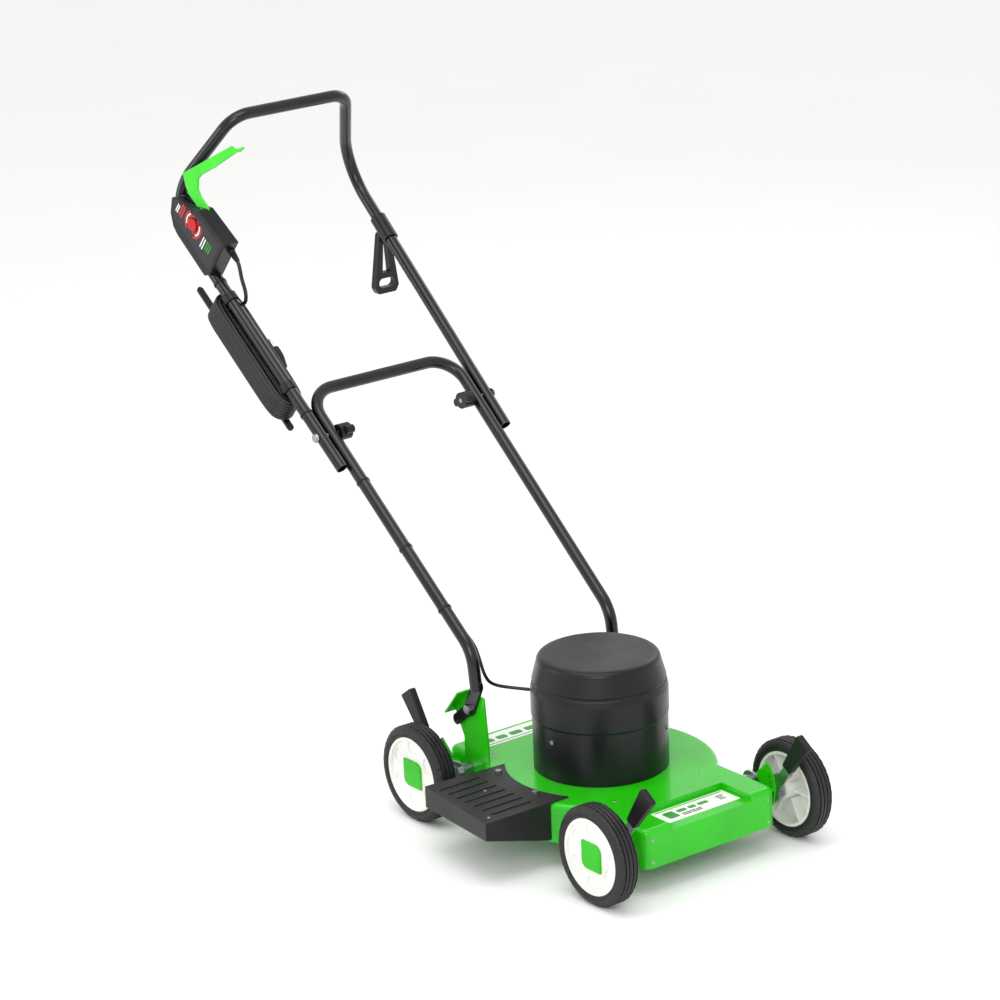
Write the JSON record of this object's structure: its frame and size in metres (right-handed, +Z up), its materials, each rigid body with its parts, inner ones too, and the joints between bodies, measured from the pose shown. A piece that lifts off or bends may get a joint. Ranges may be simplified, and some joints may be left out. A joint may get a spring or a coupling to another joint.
{
  "type": "electric lawn mower",
  "caption": "Corded electric rotary lawn mower: steel deck with side chute, vertical motor and blade, height-adjusted wheels, folding tube handle with switch and coiled mains cord.",
  "frame": {"origin": "on the ground straight below the blade spindle's axis", "axes": "+X forward, +Y to the machine's left, +Z up; the side chute points to -Y"},
  "size_m": [1.2901, 0.558, 1.163],
  "materials": {
    "black_paint": "gloss enamel",
    "black_plastic": "fine moulded grain",
    "blade_steel": "ground edge",
    "cast_aluminium": "as cast",
    "copper_winding": "enamelled wire",
    "cord_black": "pvc sheath",
    "deck_green": "gloss enamel",
    "green_plastic": "moulded",
    "lamination_steel": "stacked sheet",
    "lever_green": "moulded",
    "red_plastic": "moulded",
    "rubber_black": "moulded rubber",
    "white_plastic": "moulded",
    "zinc_steel": "zinc plated"
  },
  "bodies": {
    "chassis": {"arm_pivot_bolts": "zinc_steel", "bracket_bolts": "zinc_steel", "chamber_baffles": "deck_green", "chute_bolts": "zinc_steel", "cover_screws": "zinc_steel", "deck_shell": "deck_green", "discharge_chute": "black_plastic", "handle_brackets": "deck_green", "knob_bolts": "zinc_steel", "lower_handle": "black_paint", "motor_base_shield": "cast_aluminium", "motor_cover": "black_plastic", "motor_lead_lower": "cord_black", "motor_top_shield": "cast_aluminium", "notch_quadrants": "zinc_steel", "run_capacitor": "cast_aluminium", "shaft_bearings": "zinc_steel", "stator_core": "lamination_steel", "stator_windings": "copper_winding"},
    "rotor": {"rotor_shaft": "zinc_steel", "rotor_core": "lamination_steel", "cooling_fan": "black_plastic", "blade_adapter": "cast_aluminium", "cutting_blade": "blade_steel", "blade_bolt": "zinc_steel"},
    "arm_front_right": {"height_arm_front_right": "zinc_steel", "lever_grip_front_right": "black_plastic"},
    "wheel_front_right": {"tyre_front_right": "rubber_black", "rim_front_right": "white_plastic", "hub_cap_front_right": "green_plastic"},
    "arm_front_left": {"height_arm_front_left": "zinc_steel", "lever_grip_front_left": "black_plastic"},
    "wheel_front_left": {"tyre_front_left": "rubber_black", "rim_front_left": "white_plastic", "hub_cap_front_left": "green_plastic"},
    "arm_rear_right": {"height_arm_rear_right": "zinc_steel", "lever_grip_rear_right": "black_plastic"},
    "wheel_rear_right": {"tyre_rear_right": "rubber_black", "rim_rear_right": "white_plastic", "hub_cap_rear_right": "green_plastic"},
    "arm_rear_left": {"height_arm_rear_left": "zinc_steel", "lever_grip_rear_left": "black_plastic"},
    "wheel_rear_left": {"tyre_rear_left": "rubber_black", "rim_rear_left": "white_plastic", "hub_cap_rear_left": "green_plastic"},
    "upper_frame": {"upper_handle": "black_paint", "switch_housing": "black_plastic", "switch_block": "black_plastic", "lever_pin": "zinc_steel", "cord_gland": "black_plastic", "cord_horns": "black_plastic", "cord_hank": "cord_black", "cord_lead": "cord_black", "cord_plug": "black_plastic", "cord_guide": "black_plastic", "motor_lead_upper": "cord_black"},
    "lever": {"switch_lever": "lever_green"},
    "button": {"lock_button": "red_plastic"},
    "knob_right": {"wing_knob_right": "black_plastic"},
    "knob_left": {"wing_knob_left": "black_plastic"}
  },
  "joints": [
    {"name": "blade_spin", "type": "hinge", "parent": "chassis", "child": "rotor", "pos_m": [0, 0, 0.0675], "axis": [0, 0, 1], "continuous": true},
    {"name": "height_front_right", "type": "hinge", "parent": "chassis", "child": "arm_front_right", "pos_m": [0.192, -0.172, 0.0955], "axis": [0, -1, 0], "range_deg": [-10, 28]},
    {"name": "wheel_spin_front_right", "type": "hinge", "parent": "arm_front_right", "child": "wheel_front_right", "pos_m": [0.252, -0.215, 0.0875], "axis": [0, 1, 0], "continuous": true},
    {"name": "height_front_left", "type": "hinge", "parent": "chassis", "child": "arm_front_left", "pos_m": [0.192, 0.172, 0.0955], "axis": [0, -1, 0], "range_deg": [-10, 28]},
    {"name": "wheel_spin_front_left", "type": "hinge", "parent": "arm_front_left", "child": "wheel_front_left", "pos_m": [0.252, 0.215, 0.0875], "axis": [0, 1, 0], "continuous": true},
    {"name": "height_rear_right", "type": "hinge", "parent": "chassis", "child": "arm_rear_right", "pos_m": [-0.182, -0.172, 0.0955], "axis": [0, 1, 0], "range_deg": [-10, 28]},
    {"name": "wheel_spin_rear_right", "type": "hinge", "parent": "arm_rear_right", "child": "wheel_rear_right", "pos_m": [-0.242, -0.215, 0.0875], "axis": [0, 1, 0], "continuous": true},
    {"name": "height_rear_left", "type": "hinge", "parent": "chassis", "child": "arm_rear_left", "pos_m": [-0.182, 0.172, 0.0955], "axis": [0, 1, 0], "range_deg": [-10, 28]},
    {"name": "wheel_spin_rear_left", "type": "hinge", "parent": "arm_rear_left", "child": "wheel_rear_left", "pos_m": [-0.242, 0.215, 0.0875], "axis": [0, 1, 0], "continuous": true},
    {"name": "handle_fold", "type": "hinge", "parent": "chassis", "child": "upper_frame", "pos_m": [-0.5325, 0, 0.6305], "axis": [0, -1, 0], "range_deg": [0, 98], "deforming": ["motor_lead_lower"]},
    {"name": "lever_squeeze", "type": "hinge", "parent": "upper_frame", "child": "lever", "pos_m": [-0.85147, -0.19315, 0.98865], "axis": [0.2504, -0.932, 0.2623], "range_deg": [0, 25], "stiffness_Nm_per_rad": 0.6, "springref_deg": -28.65},
    {"name": "button_push", "type": "slide", "parent": "upper_frame", "child": "button", "axis": [-0.0218, 0.9996, 0.018], "range_m": [0, 0.004], "stiffness_N_per_m": 600, "springref_m": -0.003},
    {"name": "knob_turn_right", "type": "hinge", "parent": "chassis", "child": "knob_right", "pos_m": [-0.5325, -0.1373, 0.6305], "axis": [0, 1, 0], "continuous": true},
    {"name": "knob_turn_left", "type": "hinge", "parent": "chassis", "child": "knob_left", "pos_m": [-0.5325, 0.1373, 0.6305], "axis": [0, 1, 0], "continuous": true}
  ]
}
